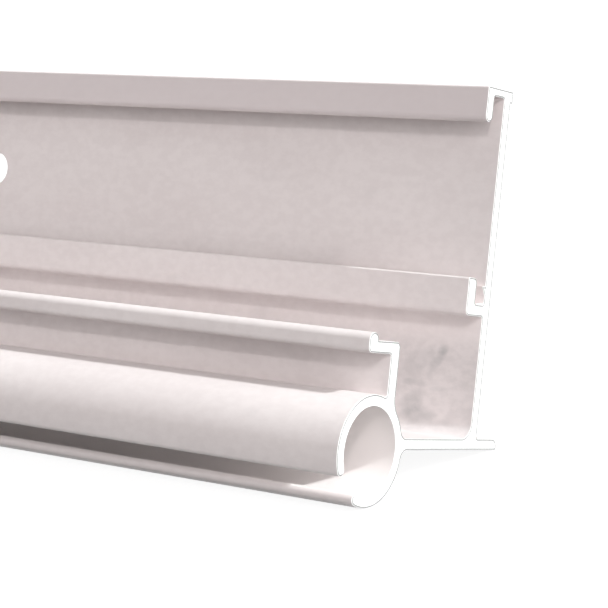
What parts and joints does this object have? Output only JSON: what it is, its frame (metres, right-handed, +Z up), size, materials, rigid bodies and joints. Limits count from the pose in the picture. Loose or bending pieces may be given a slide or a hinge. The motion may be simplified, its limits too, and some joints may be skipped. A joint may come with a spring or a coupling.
{
  "type": "trim insert rail",
  "caption": "Extruded aluminium rail with two hooks for a snap-in trim insert, screw holes, a shallow gutter and a slotted bead tube.",
  "frame": {"origin": "middle of the rail's length and of its depth, on the floor that it stands on", "axes": "+X along the rail, towards the end the picture shows; -Y to the front, where the hooks open; +Z up, with the plate leaning back 13.9 degrees as the rail stands on its heel and tube"},
  "size_m": [2.4384, 0.0344, 0.039],
  "materials": {
    "enamel": "satin white baked enamel"
  },
  "bodies": {
    "root": {"rail": "enamel"}
  },
  "joints": []
}
